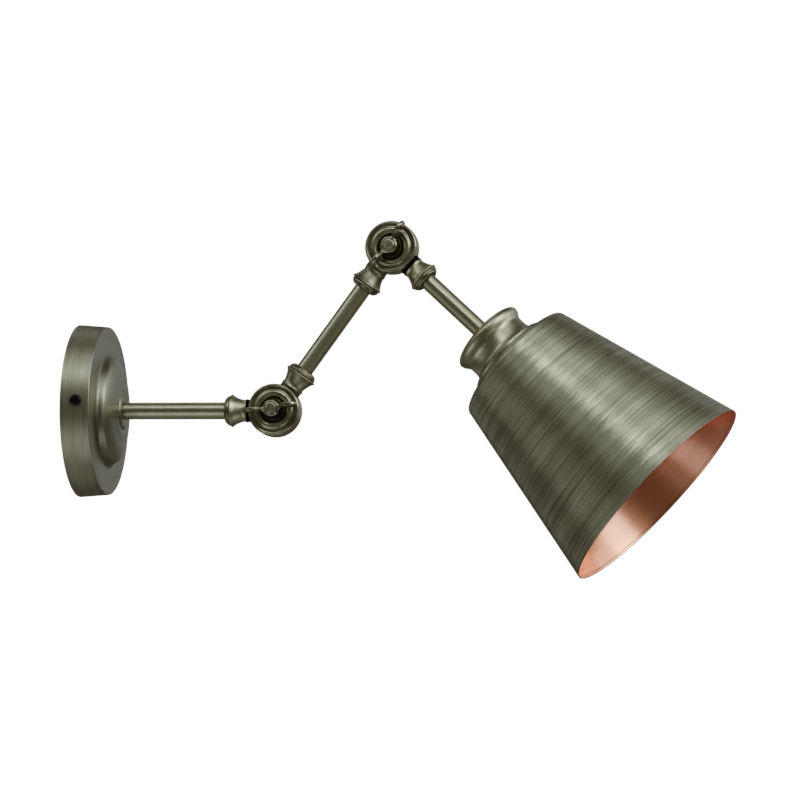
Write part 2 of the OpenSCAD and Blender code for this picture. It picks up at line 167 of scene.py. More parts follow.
def link(name, mesh, matrix, mats):
    obj = bpy.data.objects.new(name, mesh)
    scene.collection.objects.link(obj)
    obj.matrix_world = matrix
    for m in mats:
        mesh.materials.append(m)
    return obj


def lathe_mesh(name, prof, segs=96, closed=True, face_slot=None, sharp=38):
    """A turned mesh about local Z. prof is (along, radius) in mm. Face corners carry "arc", the length along the profile in mm."""
    prof = guarded(prof, closed)
    n = len(prof)
    ang = np.arange(segs) * 2 * math.pi / segs
    verts, rings = [], []
    for i, (s, r) in enumerate(prof):
        if r < 1e-6:
            rings.append([len(verts)])
            verts.append((0, 0, s * MM))
            continue
        rings.append(list(range(len(verts), len(verts) + segs)))
        for a in ang:
            verts.append((r * MM * math.cos(a), r * MM * math.sin(a), s * MM))
    arc = [0.0]
    for i in range(1, n + 1):
        arc.append(arc[-1] + float(np.linalg.norm(np.array(prof[i % n]) - np.array(prof[i - 1]))))
    faces, arcs, slots = [], [], []
    for i in range(n if closed else n - 1):
        a, b = rings[i], rings[(i + 1) % n]
        u, v = arc[i], arc[i + 1]
        slot = face_slot(i, 0.5 * (np.array(prof[i]) + np.array(prof[(i + 1) % n]))) if face_slot else 0
        if len(a) == 1 and len(b) == 1:
            continue
        for k in range(segs):
            m = (k + 1) % segs
            if len(a) == 1:
                faces.append((a[0], b[m], b[k])); arcs += [u, v, v]
            elif len(b) == 1:
                faces.append((a[k], a[m], b[0])); arcs += [u, u, v]
            else:
                faces.append((a[k], a[m], b[m], b[k])); arcs += [u, u, v, v]
            slots.append(slot)
    # outward faces: the sign of the profile's area says which way it runs
    p = np.array(prof)
    area = float(np.sum(p[:, 0] * np.roll(p[:, 1], -1) - np.roll(p[:, 0], -1) * p[:, 1]))
    if area > 0:
        turned, k = [], 0
        for f in faces:
            turned += list(reversed(arcs[k:k + len(f)]))
            k += len(f)
        faces, arcs = [tuple(reversed(f)) for f in faces], turned
    mesh = bpy.data.meshes.new(name)
    mesh.from_pydata(verts, [], faces)
    at = mesh.attributes.new("arc", "FLOAT", "CORNER")
    at.data.foreach_set("value", np.array(arcs, np.float32))
    mesh.polygons.foreach_set("material_index", np.array(slots, np.int32))
    finish_mesh(mesh, sharp)
    return mesh


def finish_mesh(mesh, sharp=38):
    mesh.validate()
    mesh.update()
    mesh.polygons.foreach_set("use_smooth", np.ones(len(mesh.polygons), bool))
    mesh.set_sharp_from_angle(angle=math.radians(sharp))
    mesh.update()


def prism_mesh(name, outline, x0, x1):
    """An outline in local (y, z), in mm, drawn out along local X."""
    n = len(outline)
    verts = [(x * MM, q[0] * MM, q[1] * MM) for x in (x0, x1) for q in outline]
    faces = [tuple(range(n)), tuple(range(2 * n - 1, n - 1, -1))]
    faces += [(k, n + k, n + (k + 1) % n, (k + 1) % n) for k in range(n)]
    mesh = bpy.data.meshes.new(name)
    mesh.from_pydata(verts, [], faces)
    mesh.validate()
    import bmesh
    bm = bmesh.new()
    bm.from_mesh(mesh)
    bmesh.ops.recalc_face_normals(bm, faces=bm.faces)
    bm.to_mesh(mesh)
    bm.free()
    return mesh


def combine(name, base, others, how="UNION", sharp=38):
    """base with the other meshes joined on or cut out, as one closed mesh."""
    keep = bpy.data.objects.new(name, base)
    scene.collection.objects.link(keep)
    extra = []
    for i, m in enumerate(others):
        o = bpy.data.objects.new(f"{name}_{i}", m)
        scene.collection.objects.link(o)
        extra.append(o)
        mod = keep.modifiers.new(f"b{i}", "BOOLEAN")
        mod.operation, mod.solver, mod.object = how, "EXACT", o
    bpy.context.view_layer.update()
    made = bpy.data.meshes.new_from_object(keep.evaluated_get(bpy.context.evaluated_depsgraph_get()))
    for o in [keep] + extra:
        bpy.data.objects.remove(o)
    made.name = name
    made.materials.clear()
    finish_mesh(made, sharp)
    return made


# ---------------------------------------------------------------- cast shapes from a distance field
def net(field, lo, hi, h):
    """A closed quad mesh where field(points) is 0, on a grid of pitch h (surface nets), then moved onto the surface."""
    axes = [np.arange(lo[i], hi[i] + h, h) for i in range(3)]
    nx, ny, nz = map(len, axes)
    g = np.stack(np.meshgrid(*axes, indexing="ij"), -1).reshape(-1, 3)
    v = field(g).reshape(nx, ny, nz)
    inside = v < 0
    c = np.zeros((nx - 1, ny - 1, nz - 1), int)
    for i in (0, 1):
        for j in (0, 1):
            for k in (0, 1):
                c += inside[i:nx - 1 + i, j:ny - 1 + j, k:nz - 1 + k]
    cell = (c > 0) & (c < 8)
    ids = -np.ones(cell.shape, int)
    ids[cell] = np.arange(cell.sum())
    total, count = np.zeros(cell.shape + (3,)), np.zeros(cell.shape)
    for ax in range(3):
        for p in (0, 1):
            for q in (0, 1):
                o = [0, 0, 0]
                other = [m for m in range(3) if m != ax]
                o[other[0]], o[other[1]] = p, q
                e = list(o)
                e[ax] = 1
                a = v[o[0]:nx - 1 + o[0], o[1]:ny - 1 + o[1], o[2]:nz - 1 + o[2]]
                b = v[e[0]:nx - 1 + e[0], e[1]:ny - 1 + e[1], e[2]:nz - 1 + e[2]]
                cross = (a < 0) != (b < 0)
                t = np.where(cross, a / np.where(cross, a - b, 1), 0)
                off = np.zeros(cell.shape + (3,))
                off[..., other[0]], off[..., other[1]], off[..., ax] = p, q, t
                total += np.where(cross[..., None], off, 0)
                count += cross
    i, j, k = np.nonzero(cell)
    off = total[cell] / count[cell][:, None]
    pts = np.stack([axes[0][i], axes[1][j], axes[2][k]], -1) + off * h
    quads = []
    for ax in range(3):
        o1, o2 = [m for m in range(3) if m != ax]
        n = [nx, ny, nz]
        sl0 = [slice(1, n[m] - 1) for m in range(3)]
        sl1 = list(sl0)
        sl0[ax], sl1[ax] = slice(0, n[ax] - 1), slice(1, n[ax])
        a, b = inside[tuple(sl0)], inside[tuple(sl1)]
        cross = a != b
        at = np.argwhere(cross)
        base = at.copy()
        for m in (o1, o2):
            base[:, m] += 1
        def cid(d1, d2):
            w = base.copy()
            w[:, o1] -= d1
            w[:, o2] -= d2
            return ids[w[:, 0], w[:, 1], w[:, 2]]
        q = np.stack([cid(1, 1), cid(0, 1), cid(0, 0), cid(1, 0)], -1)
        flip = a[cross] if ax != 1 else ~a[cross]
        q[~flip] = q[~flip][:, ::-1]
        quads.append(q)
    quads = np.concatenate(quads)
    e = 0.02
    for _ in range(3):
        f = field(pts)
        grad = np.stack([(field(pts + d) - field(pts - d)) / (2 * e) for d in np.eye(3) * e], -1)
        n2 = np.maximum((grad ** 2).sum(-1), 0.2)
        pts = pts - np.clip(f / n2, -0.3 * h, 0.3 * h)[:, None] * grad
    return pts, quads


def net_mesh(name, field, lo, hi, h, sharp=60):
    pts, quads = net(field, lo, hi, h)
    mesh = bpy.data.meshes.new(name)
    mesh.from_pydata([tuple(p * MM) for p in pts], [], [tuple(map(int, q)) for q in quads])
    finish_mesh(mesh, sharp)
    return mesh


def smin(a, b, k):
    hh = np.clip(0.5 + 0.5 * (b - a) / k, 0, 1)
    return b + (a - b) * hh - k * hh * (1 - hh)


def smax(a, b, k):
    return -smin(-a, -b, k)


def poly_distance(p, poly):
    """Signed distance to a 2D polygon, below 0 inside."""
    poly = np.array(poly, float)
    d = np.full(len(p), 1e18)
    s = np.ones(len(p))
    for i in range(len(poly)):
        a, b = poly[i], poly[i - 1]
        e, w = b - a, p - a
        t = np.clip((w @ e) / (e @ e), 0, 1)
        q = w - t[:, None] * e
        d = np.minimum(d, (q ** 2).sum(1))
        c1, c2, c3 = p[:, 1] >= a[1], p[:, 1] < b[1], e[0] * w[:, 1] > e[1] * w[:, 0]
        s = np.where((c1 & c2 & c3) | (~c1 & ~c2 & ~c3), -s, s)
    return s * np.sqrt(d)


# ---------------------------------------------------------------- materials
def new_material(name):
    m = bpy.data.materials.new(name)
    m.use_nodes = True
    t = m.node_tree
    t.nodes.clear()
    out = t.nodes.new("ShaderNodeOutputMaterial")
    shader = t.nodes.new("ShaderNodeBsdfPrincipled")
    t.links.new(shader.outputs["BSDF"], out.inputs["Surface"])
    return m, t, shader


class Net:
    """Small helpers to write node trees."""

    def __init__(self, tree):
        self.t = tree

    def put(self, socket, value):
        if isinstance(value, bpy.types.NodeSocket):
            self.t.links.new(value, socket)
        elif value is not None:
            socket.default_value = value

    def math(self, op, a, b=None, c=None, clamp=False):
        n = self.t.nodes.new("ShaderNodeMath")
        n.operation, n.use_clamp = op, clamp
        for s, v in zip(n.inputs, (a, b, c)):
            self.put(s, v)
        return n.outputs[0]

    def vec(self, op, a, b=None, scale=None):
        n = self.t.nodes.new("ShaderNodeVectorMath")
        n.operation = op
        self.put(n.inputs[0], a)
        self.put(n.inputs[1], b)
        if scale is not None:
            self.put(n.inputs["Scale"], scale)
        return n.outputs["Value" if op in ("LENGTH", "DOT_PRODUCT") else "Vector"]

    def xyz(self, x, y, z):
        n = self.t.nodes.new("ShaderNodeCombineXYZ")
        for s, v in zip(n.inputs, (x, y, z)):
            self.put(s, v)
        return n.outputs[0]

    def split(self, v):
        n = self.t.nodes.new("ShaderNodeSeparateXYZ")
        self.put(n.inputs[0], v)
        return n.outputs

    def noise(self, v, scale=1.0, detail=2.0, rough=0.5, distortion=0.0):
        n = self.t.nodes.new("ShaderNodeTexNoise")
        self.put(n.inputs["Vector"], v)
        n.inputs["Scale"].default_value = scale
        n.inputs["Detail"].default_value = detail
        n.inputs["Roughness"].default_value = rough
        n.inputs["Distortion"].default_value = distortion
        return n.outputs["Fac"]

    def remap(self, v, a, b, c=0.0, d=1.0, smooth=False):
        n = self.t.nodes.new("ShaderNodeMapRange")
        if smooth:
            n.interpolation_type = "SMOOTHSTEP"
        for s, x in zip(n.inputs, (v, a, b, c, d)):
            self.put(s, x)
        return n.outputs[0]

    def mix(self, f, a, b):
        n = self.t.nodes.new("ShaderNodeMix")
        n.data_type = "RGBA"
        self.put(n.inputs["Factor"], f)
        self.put(n.inputs["A"], a)
        self.put(n.inputs["B"], b)
        return n.outputs["Result"]

    def ramp(self, f, stops):
        n = self.t.nodes.new("ShaderNodeValToRGB")
        self.put(n.inputs[0], f)
        r = n.color_ramp
        while len(r.elements) > 1:
            r.elements.remove(r.elements[-1])
        r.elements[0].position, r.elements[0].color = stops[0][0], stops[0][1]
        for pos, col in stops[1:]:
            e = r.elements.new(pos)
            e.color = col
        return n.outputs["Color"]

    def object_mm(self):
        n = self.t.nodes.new("ShaderNodeTexCoord")
        return self.vec("SCALE", n.outputs["Object"], scale=1000.0)

    def bump(self, height, strength, distance, normal=None):
        n = self.t.nodes.new("ShaderNodeBump")
        n.inputs["Strength"].default_value = strength
        n.inputs["Distance"].default_value = distance
        self.put(n.inputs["Height"], height)
        if normal is not None:
            self.put(n.inputs["Normal"], normal)
        return n.outputs["Normal"]


def rgb(r, g, b):
    """A colour given in display values from 0 to 255."""
    def lin(c):
        c /= 255.0
        return c / 12.92 if c <= 0.04045 else ((c + 0.055) / 1.055) ** 2.4
    return (lin(r), lin(g), lin(b), 1.0)


def brushed(name, light, dark, run=1.4, pitch=0.8, smudge=4.5, lines=0.5, lean=0.3, rough=(0.33, 0.43), aniso=0.75,
            use_arc=True, bump=0.05, streak=0.5, patches=0.3, metallic=1.0, rings=None,
            deep=None):
    """Metal brushed round local Z. run is how often the brush lines change along a radian, pitch and smudge are the
    widths in mm of the fine lines and of the soft streaks, lean says how far a streak's normal leans round the axis,
    and patches how much the tone wanders over larger areas. rings lists how dark the surface is made at a distance in
    mm from local Z, tarnish in the hollows with painted shade there, and deep is two heights along it and what the
    colour is multiplied by towards the first one."""
    m, t, shader = new_material(name)
    n = Net(t)
    p = n.object_mm()
    x, y, z = n.split(p)
    flat = n.vec("NORMALIZE", n.xyz(x, y, 0.0))
    fx, fy, _ = n.split(flat)
    if use_arc:
        a = t.nodes.new("ShaderNodeAttribute")
        a.attribute_name = "arc"
        s = a.outputs["Fac"]
    else:
        s = z

    def coord(k, width, shift=0.0):
        return n.xyz(n.math("MULTIPLY", fx, k), n.math("MULTIPLY", fy, k), n.math("MULTIPLY_ADD", s, 1.0 / width, shift))
    fine = n.noise(coord(run * 1.6, pitch), detail=3.0, rough=0.7)
    soft = n.noise(coord(run, smudge, 31.0), detail=4.0, rough=0.6)
    big = n.noise(coord(run * 1.2, smudge * 5.0, 57.0), detail=2.0, rough=0.5)
    leaning = n.noise(coord(run * 0.55, smudge * 0.6, 11.0), detail=3.0, rough=0.65)
    f1 = n.remap(fine, 0.32, 0.68)
    f2 = n.remap(soft, 0.32, 0.68)
    f3 = n.remap(big, 0.35, 0.65)
    mixed = n.math("ADD", n.math("MULTIPLY", f1, lines * (1 - patches)), n.math("MULTIPLY", f2, (1.0 - lines) * (1 - patches)))
    mixed = n.math("MULTIPLY_ADD", f3, patches, mixed)
    tone = n.math("MULTIPLY_ADD", n.math("SUBTRACT", mixed, 0.5), streak * 2.0, 0.5, clamp=True)
    colour = n.mix(tone, dark, light)
    if rings is not None:
        rad = n.math("MULTIPLY", n.vec("LENGTH", n.xyz(x, y, 0.0)), 1.0 / 62.0)
        colour = n.vec("MULTIPLY", colour, n.ramp(rad, [(r / 62.0, (f, f, f, 1)) for r, f in rings]))
    if deep is not None:
        colour = n.vec("MULTIPLY", colour, n.mix(n.remap(z, deep[0], deep[1], smooth=True), deep[2], (1, 1, 1, 1)))
    n.put(shader.inputs["Base Color"], colour)
    shader.inputs["Metallic"].default_value = metallic
    shader.inputs["Anisotropic"].default_value = aniso
    n.put(shader.inputs["Roughness"], n.remap(soft, 0.35, 0.65, rough[1], rough[0]))
    # streaks lean a little round the axis, which breaks up a highlight's edge along the brush lines
    turn_dir = t.nodes.new("ShaderNodeVectorTransform")
    turn_dir.vector_type, turn_dir.convert_from, turn_dir.convert_to = "VECTOR", "OBJECT", "WORLD"
    n.put(turn_dir.inputs[0], n.xyz(n.math("MULTIPLY", fy, -1.0), fx, 0.0))
    amount = n.math("MULTIPLY", n.math("SUBTRACT", leaning, 0.5), lean * 2.0)
    geo = t.nodes.new("ShaderNodeNewGeometry")
    leaned = n.vec("NORMALIZE", n.vec("ADD", geo.outputs["Normal"], n.vec("SCALE", turn_dir.outputs[0], scale=amount)))
    n.put(shader.inputs["Normal"], n.bump(n.math("ADD", fine, n.math("MULTIPLY", soft, 0.5)), bump, 0.0006, leaned))
    n.put(shader.inputs["Tangent"], n.vec("NORMALIZE", n.vec("CROSS_PRODUCT", turn_dir.outputs[0], geo.outputs["Normal"])))
    return m


def satin(name, light, dark, scale=0.25, rough=(0.3, 0.42), bump=0.05, grain=2.5, metallic=1.0, rings=None, bands=None,
          neck=None, collar=None):
    """Smooth metal with a soft uneven finish. rings lists how dark the surface is made at a distance in mm from local Z
    and bands at a height along it, tarnish in the hollows with painted shade there. neck is the end of the recess
    beside a knuckle's disc, along local X, and how dark the neck is painted there, as the shadow in the gap between
    disc and collar, and collar is where a knuckle's collar starts, how dark it is and how much rougher."""
    m, t, shader = new_material(name)
    n = Net(t)
    p = n.object_mm()
    big = n.noise(p, scale, 3.0, 0.55)
    small = n.noise(p, grain, 4.0, 0.6)
    tone = n.remap(n.math("ADD", n.math("MULTIPLY", big, 0.7), n.math("MULTIPLY", small, 0.3)), 0.35, 0.65)
    colour = n.mix(tone, dark, light)
    # rings and bands: tarnish in the hollows with painted shade there
    if rings is not None:
        x, y, z = n.split(p)
        rad = n.math("MULTIPLY", n.vec("LENGTH", n.xyz(x, y, 0.0)), 1.0 / 25.0)
        tarnish_and_shade = n.ramp(rad, [(r / 25.0, (f, f, f * 0.93 + 0.07 * f * f, 1)) for r, f in rings])
        colour = n.vec("MULTIPLY", colour, tarnish_and_shade)
    if bands is not None:
        _, _, z = n.split(p)
        tarnish_and_shade = n.ramp(n.math("MULTIPLY", n.math("SUBTRACT", z, 30.0), 0.1), [((q - 30) / 10, (f, f, f, 1)) for q, f in bands])
        colour = n.vec("MULTIPLY", colour, tarnish_and_shade)
    # painted shadow: the neck is darkened where it shows in the gap between the disc's rim and the collar
    if neck is not None:
        x, y, z = n.split(p)
        off = n.vec("LENGTH", n.xyz(x, y, 0.0))
        gap_shadow = n.math("MULTIPLY", n.remap(off, 18.19, 18.3), n.remap(x, neck[0], neck[0] + 0.12, 1.0, 0.0))
        colour = n.vec("SCALE", colour, scale=n.math("MULTIPLY_ADD", gap_shadow, neck[1] - 1.0, 1.0))
    gloss = n.remap(small, 0.3, 0.7, rough[0], rough[1])
    if collar is not None:
        x, y, z = n.split(p)
        far = n.remap(x, collar[0], collar[0] + 1.0)
        colour = n.vec("SCALE", colour, scale=n.math("MULTIPLY_ADD", far, collar[1] - 1.0, 1.0))
        gloss = n.math("MULTIPLY_ADD", far, collar[2], gloss)
    n.put(shader.inputs["Base Color"], colour)
    shader.inputs["Metallic"].default_value = metallic
    n.put(shader.inputs["Roughness"], gloss)
    n.put(shader.inputs["Normal"], n.bump(small, bump, 0.0004))
    return m


def matter(name, light, dark, scale=1.0, rough=(0.4, 0.55), bump=0.1, dist=0.0003, metallic=0.0, detail=4.0):
    """Plastic, ceramic or plain plated metal with fine unevenness."""
    m, t, shader = new_material(name)
    n = Net(t)
    p = n.object_mm()
    a = n.noise(p, scale, detail, 0.6)
    n.put(shader.inputs["Base Color"], n.mix(n.remap(a, 0.3, 0.7), dark, light))
    shader.inputs["Metallic"].default_value = metallic
    n.put(shader.inputs["Roughness"], n.remap(a, 0.3, 0.7, rough[0], rough[1]))
    n.put(shader.inputs["Normal"], n.bump(n.noise(p, scale * 3.0, 3.0, 0.6), bump, dist))
    return m


SHADE = brushed("aged_shade", rgb(220, 218, 192), rgb(103, 101, 80), run=0.6, pitch=0.4, smudge=2.4, lean=0.12, lines=0.76,
                rough=(0.36, 0.43), aniso=0.8, streak=0.58, bump=0.03, patches=0.16)
PLATE_SIDE = brushed("aged_plate_side", rgb(200, 197, 174), rgb(134, 131, 108), run=1.1, pitch=0.6, smudge=3.0, lean=0.04,
                     lines=0.65, rough=(0.38, 0.46), aniso=0.3, streak=0.5, bump=0.02)
# The plate's face is darker in a ring at the crease round the tube's boss and in a ring at the fillet round the dome's
# foot: tarnish with painted shade.
PLATE_FACE = brushed("aged_plate_face", rgb(184, 182, 162), rgb(154, 151, 130), run=1.0, pitch=0.8, smudge=6.0, lean=0.03,
                     rough=(0.34, 0.4), aniso=0.3, bump=0.01, streak=0.3,
                     rings=[(0, 1.0), (10.2, 1.0), (10.9, 0.75), (12.3, 0.95), (36.2, 1.0), (37.1, 0.82), (38.8, 0.74), (40.2, 0.88),
                            (41.6, 1.0), (62, 1.0)])
TUBE = brushed("aged_tube", rgb(206, 203, 176), rgb(172, 168, 140), run=0.25, pitch=1.6, smudge=5.0, lean=0.0, lines=0.4,
               rough=(0.29, 0.33), aniso=0.4, bump=0.0, patches=0.2, streak=0.35)
CUP = brushed("aged_cup", rgb(202, 199, 174), rgb(160, 156, 130), run=0.5, pitch=1.0, smudge=6.0, lean=0.015,
              rough=(0.32, 0.38), aniso=0.35, bump=0.005, streak=0.3, patches=0.2)
PATINA = satin("dark_patina", rgb(132, 126, 102), rgb(92, 86, 66), scale=0.3, rough=(0.34, 0.46), bump=0.04)
# Front faces are darker in the groove inside the rim and in the recess round the hub, and rear faces towards the hub:
# tarnish with painted shade; the bead between keeps its full colour.
FRONT_RINGS = [(0, 0.6), (7.8, 0.6), (8.6, 0.8), (9.6, 1.0), (13.2, 1.0), (13.8, 0.74), (14.6, 0.6), (16.1, 0.64), (16.9, 0.78),
               (17.5, 0.95), (25.0, 1.0)]
REAR_RINGS = [(0, 0.5), (9.0, 0.5), (12.0, 0.75), (14.0, 1.0), (25.0, 1.0)]
# The four knuckle halves share one cast finish. Their colours and how dark their collars are differ half by half only
# to match how each is lit, as painted light and shade: the second knuckle's front half has its collar painted darker,
# and the first knuckle's rear half is painted darker than the second's.
DISC = satin("aged_disc", rgb(212, 207, 180), rgb(158, 152, 124), scale=0.12, rough=(0.22, 0.31), bump=0.012, rings=FRONT_RINGS,
             neck=(19.62, 0.55), collar=(18.6, 0.76, 0.12))
DISC_SHADED_COLLAR = satin("aged_disc_shaded_collar", rgb(212, 207, 180), rgb(158, 152, 124), scale=0.12, rough=(0.22, 0.31), bump=0.012, rings=FRONT_RINGS,
               neck=(19.62, 0.55), collar=(18.6, 0.6, 0.12))
REAR_1 = satin("aged_disc_rear_1", rgb(208, 203, 176), rgb(168, 162, 134), scale=0.12, rough=(0.22, 0.31), bump=0.012,
               rings=REAR_RINGS, neck=(19.72, 0.05), collar=(18.6, 1.0, 0.1))
REAR_2 = satin("aged_disc_rear_2", rgb(220, 215, 188), rgb(168, 162, 134), scale=0.12, rough=(0.22, 0.31), bump=0.012,
               rings=REAR_RINGS, neck=(20.55, 0.05), collar=(18.6, 0.97, 0.1))
# The ferrules are darker against the collar, in the groove behind the bead and where the tube goes in: tarnish with
# painted shade.
FERRULE = satin("aged_ferrule", rgb(196, 192, 164), rgb(150, 144, 118), scale=0.2, rough=(0.24, 0.32), bump=0.01,
                bands=[(31.5, 0.5), (31.8, 1.0), (32.45, 1.0), (32.9, 0.3), (33.3, 0.45), (34.0, 0.85), (34.8, 0.7), (35.3, 0.3)])
# The wing nuts are darker on the wings than on the hub, most at the wings' roots: tarnish with painted shade.
WING = satin("aged_wing", rgb(218, 214, 190), rgb(150, 145, 120), scale=0.25, rough=(0.2, 0.3), bump=0.03,
             rings=[(0, 1.0), (5.4, 1.0), (6.4, 0.6), (12.0, 0.66), (18.5, 0.88), (25.0, 0.88)])
HUB = satin("aged_hub", rgb(204, 200, 174), rgb(128, 124, 102), scale=0.6, rough=(0.32, 0.44), bump=0.1, grain=1.2)
COPPER = brushed("copper_lining", (0.96, 0.42, 0.21, 1), (0.86, 0.29, 0.12, 1), run=0.6, pitch=0.7, smudge=6.0, lean=0.04, lines=0.75,
                 rough=(0.32, 0.37), aniso=0.25, bump=0.015, streak=0.6, patches=0.1, deep=(165.0, 225.0, (0.99, 1.4, 1.85, 1)))
for socket, value in (("Coat Weight", 1.0), ("Coat Roughness", 0.2), ("Coat IOR", 2.3)):
    COPPER.node_tree.nodes["Principled BSDF"].inputs[socket].default_value = value
BLACK_SCREW = matter("black_screw", rgb(62, 62, 64), rgb(36, 36, 38), scale=1.5, rough=(0.26, 0.36), metallic=0.7)
ZINC = matter("zinc_steel", rgb(200, 203, 206), rgb(150, 154, 158), scale=0.35, rough=(0.3, 0.45), metallic=1.0)
BRASS = matter("brass", rgb(214, 180, 104), rgb(176, 140, 74), scale=0.4, rough=(0.24, 0.38), metallic=1.0)
PLATED = matter("plated_brass", rgb(216, 210, 184), rgb(180, 170, 138), scale=0.3, rough=(0.2, 0.32), metallic=1.0)
WHITE = matter("white_plastic", rgb(232, 230, 222), rgb(218, 215, 205), scale=0.5, rough=(0.4, 0.5))
BLACK = matter("black_plastic", rgb(38, 36, 35), rgb(26, 25, 24), scale=0.8, rough=(0.34, 0.46))
CERAMIC = matter("ceramic", rgb(234, 230, 220), rgb(222, 216, 203), scale=0.6, rough=(0.25, 0.4))
FIBRE = matter("fibre", rgb(150, 108, 72), rgb(112, 76, 48), scale=1.2, rough=(0.7, 0.85))
SHEATH = matter("flex_sheath", rgb(222, 218, 208), rgb(204, 199, 186), scale=0.5, rough=(0.5, 0.6))


def core_material():
    """The three wires' colours, told apart by where the wires lie."""
    m, t, shader = new_material("core_pvc")
    n = Net(t)
    p = n.object_mm()
    x, y, z = n.split(p)
    a = n.noise(p, 0.8, 3.0)
    brown_blue = n.mix(n.math("GREATER_THAN", z, 0.55), rgb(116, 68, 38), rgb(46, 92, 158))
    green = n.math("LESS_THAN", y, -0.1)
    colour = n.mix(green, brown_blue, rgb(104, 156, 58))
    n.put(shader.inputs["Base Color"], n.mix(n.remap(a, 0.3, 0.7, 0.0, 0.2), colour, rgb(20, 20, 20)))
    shader.inputs["Metallic"].default_value = 0.0
    n.put(shader.inputs["Roughness"], n.remap(a, 0.3, 0.7, 0.4, 0.5))
    return m


CORES = core_material()


def piece(name, mesh, matrix, mats, body, replaces):
    o = link(name, mesh, matrix, mats if isinstance(mats, list) else [mats])
    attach(o, body)
    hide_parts(*([replaces] if isinstance(replaces, str) else replaces))
    return o


# ---------------------------------------------------------------- wall plate
dome = spline([(20.0, 41.4), (20.02, 40.4), (20.3, 39.2), (20.95, 38.2), (21.9, 37.5), (23.0, 37.05), (24.1, 36.55), (25.1, 35.8),
               (25.95, 34.7), (26.6, 33.3), (27.2, 31.7), (27.9, 29.3), (28.7, 26), (29.5, 21), (30.15, 17), (30.3, 15.2),
               (30.15, 14.2), (30.15, 13.4), (30.5, 12.6), (31.0, 12.0), (31.3, 11.3), (31.4, 10.4)], 0.35)
outer = [(0.0, 60.2)] + [tuple(q) for q in rounded([(0, 60.2, 0.0), (20.0, 58.7, 0.7), (20.0, 41.4)], closed=False, steps=9)[1:-1]] \
    + [tuple(q) for q in dome] + [(31.4, 5.97)]
inner = [(30.2, 5.97), (30.2, 10.6), (29.3, 12.6), (29.0, 15.0), (28.4, 20.6), (27.5, 25.7), (26.6, 29.8), (25.9, 31.9),
         (25.0, 33.5), (23.7, 34.8), (22.1, 35.4), (20.0, 36.2), (18.8, 37.6), (18.4, 39.6), (18.4, 57.2), (17.8, 57.9),
         (0.0, 59.0)]
piece("plate", lathe_mesh("plate", outer + inner, 192, True,
                          face_slot=lambda i, q: 0 if q[0] < 18.6 or q[1] > 58.2 else 1),
      WALL, [PLATE_SIDE, PLATE_FACE], "wall_base", "wall_plate")

# ---------------------------------------------------------------- tubes
for name, m, s0, s1, body, node, bore in (
        ("tube_wall", ARM_1, 24.1, 138.87 - 31.42, "wall_base", "wall_tube", 4.4),
        ("tube_mid", ARM_2, 24.1, MID_LEN - 24.1, "mid_arm", "mid_tube", 4.4),
        ("tube_head", HEAD, 24.1, 85.18, "head", "head_tube", 4.4)):
    prof = rounded([(s0, TUBE_R, 0.3), (s1, TUBE_R, 0.3), (s1, bore, 0.2), (s0, bore, 0.2)])
    piece(name, lathe_mesh(name, prof, 72), m, TUBE, body, node)

# ---------------------------------------------------------------- ferrules
ferrule = [tuple(q) for q in spline([(31.55, 9.9), (31.78, 10.28), (32.15, 10.45), (32.55, 10.38), (32.85, 10.05), (33.02, 9.72)], 0.15)] \
    + [tuple(q) for q in spline([(33.1, 9.66), (33.4, 9.62), (33.8, 9.42), (34.3, 8.92), (34.8, 8.2), (35.15, 7.4), (35.3, 6.5)], 0.2)] \
    + [(35.3, 5.97), (31.55, 5.97)]
for name, m, body, node in (("ferrule_wall", ARM_1, "wall_base", "wall_ferrule"), ("ferrule_head", HEAD, "head", "head_ferrule")):
    piece(name, lathe_mesh(name, ferrule, 72), m, FERRULE, body, node)
low = lathe_mesh("ferrules_mid", ferrule, 72)
high = lathe_mesh("ferrules_mid_high", ferrule, 72)
piece("ferrule_mid_low", low, ARM_2, FERRULE, "mid_arm", "mid_ferrules")
piece("ferrule_mid_high", high, ARM_2B, FERRULE, "mid_arm", "mid_ferrules")

# ---------------------------------------------------------------- knuckles
front_face = spline([(6.2, 18.17), (6.75, 18.1), (7.25, 17.88), (7.62, 17.6), (7.82, 17.3), (7.86, 17.05)], 0.22) \
    + spline([(7.8, 16.88), (7.5, 16.6), (7.28, 16.0), (7.2, 15.2), (7.2, 14.4), (7.3, 13.9), (7.5, 13.6)], 0.25) \
    + spline([(7.68, 13.5), (7.98, 13.3), (8.26, 12.9), (8.42, 12.35), (8.47, 11.7), (8.38, 11.0), (8.15, 10.3), (7.75, 9.7), (7.15, 9.2),
              (6.4, 8.78), (5.7, 8.45), (5.25, 8.15), (5.2, 7.6)], 0.3)
front_disc = [(SEAM, DISC_R - 0.25), (SEAM + 0.07, DISC_R - 0.08), (SEAM + 0.25, DISC_R)] + [tuple(q) for q in front_face] + [(5.2, 4.06),
             (SEAM, 4.06), (SEAM, 7.2), (3.95, 7.2), (3.95, 15.6), (SEAM, 15.6)]
rear_face = spline([(4.9, 18.17), (5.4, 18.08), (5.85, 17.85), (6.2, 17.4), (6.38, 16.85), (6.4, 16.2)], 0.22) \
    + spline([(6.4, 14.4), (6.36, 13.6), (6.2, 12.8), (5.9, 12.0), (5.5, 11.2), (5.18, 10.4), (5.02, 9.6), (5.0, 9.0)], 0.3)
rear_disc = [(SEAM, DISC_R - 0.25), (SEAM + 0.07, DISC_R - 0.08), (SEAM + 0.25, DISC_R)] + [tuple(q) for q in rear_face] + [(5.0, 4.06),
            (SEAM, 4.06), (SEAM, 7.2), (3.95, 7.2), (3.95, 15.6), (SEAM, 15.6)]
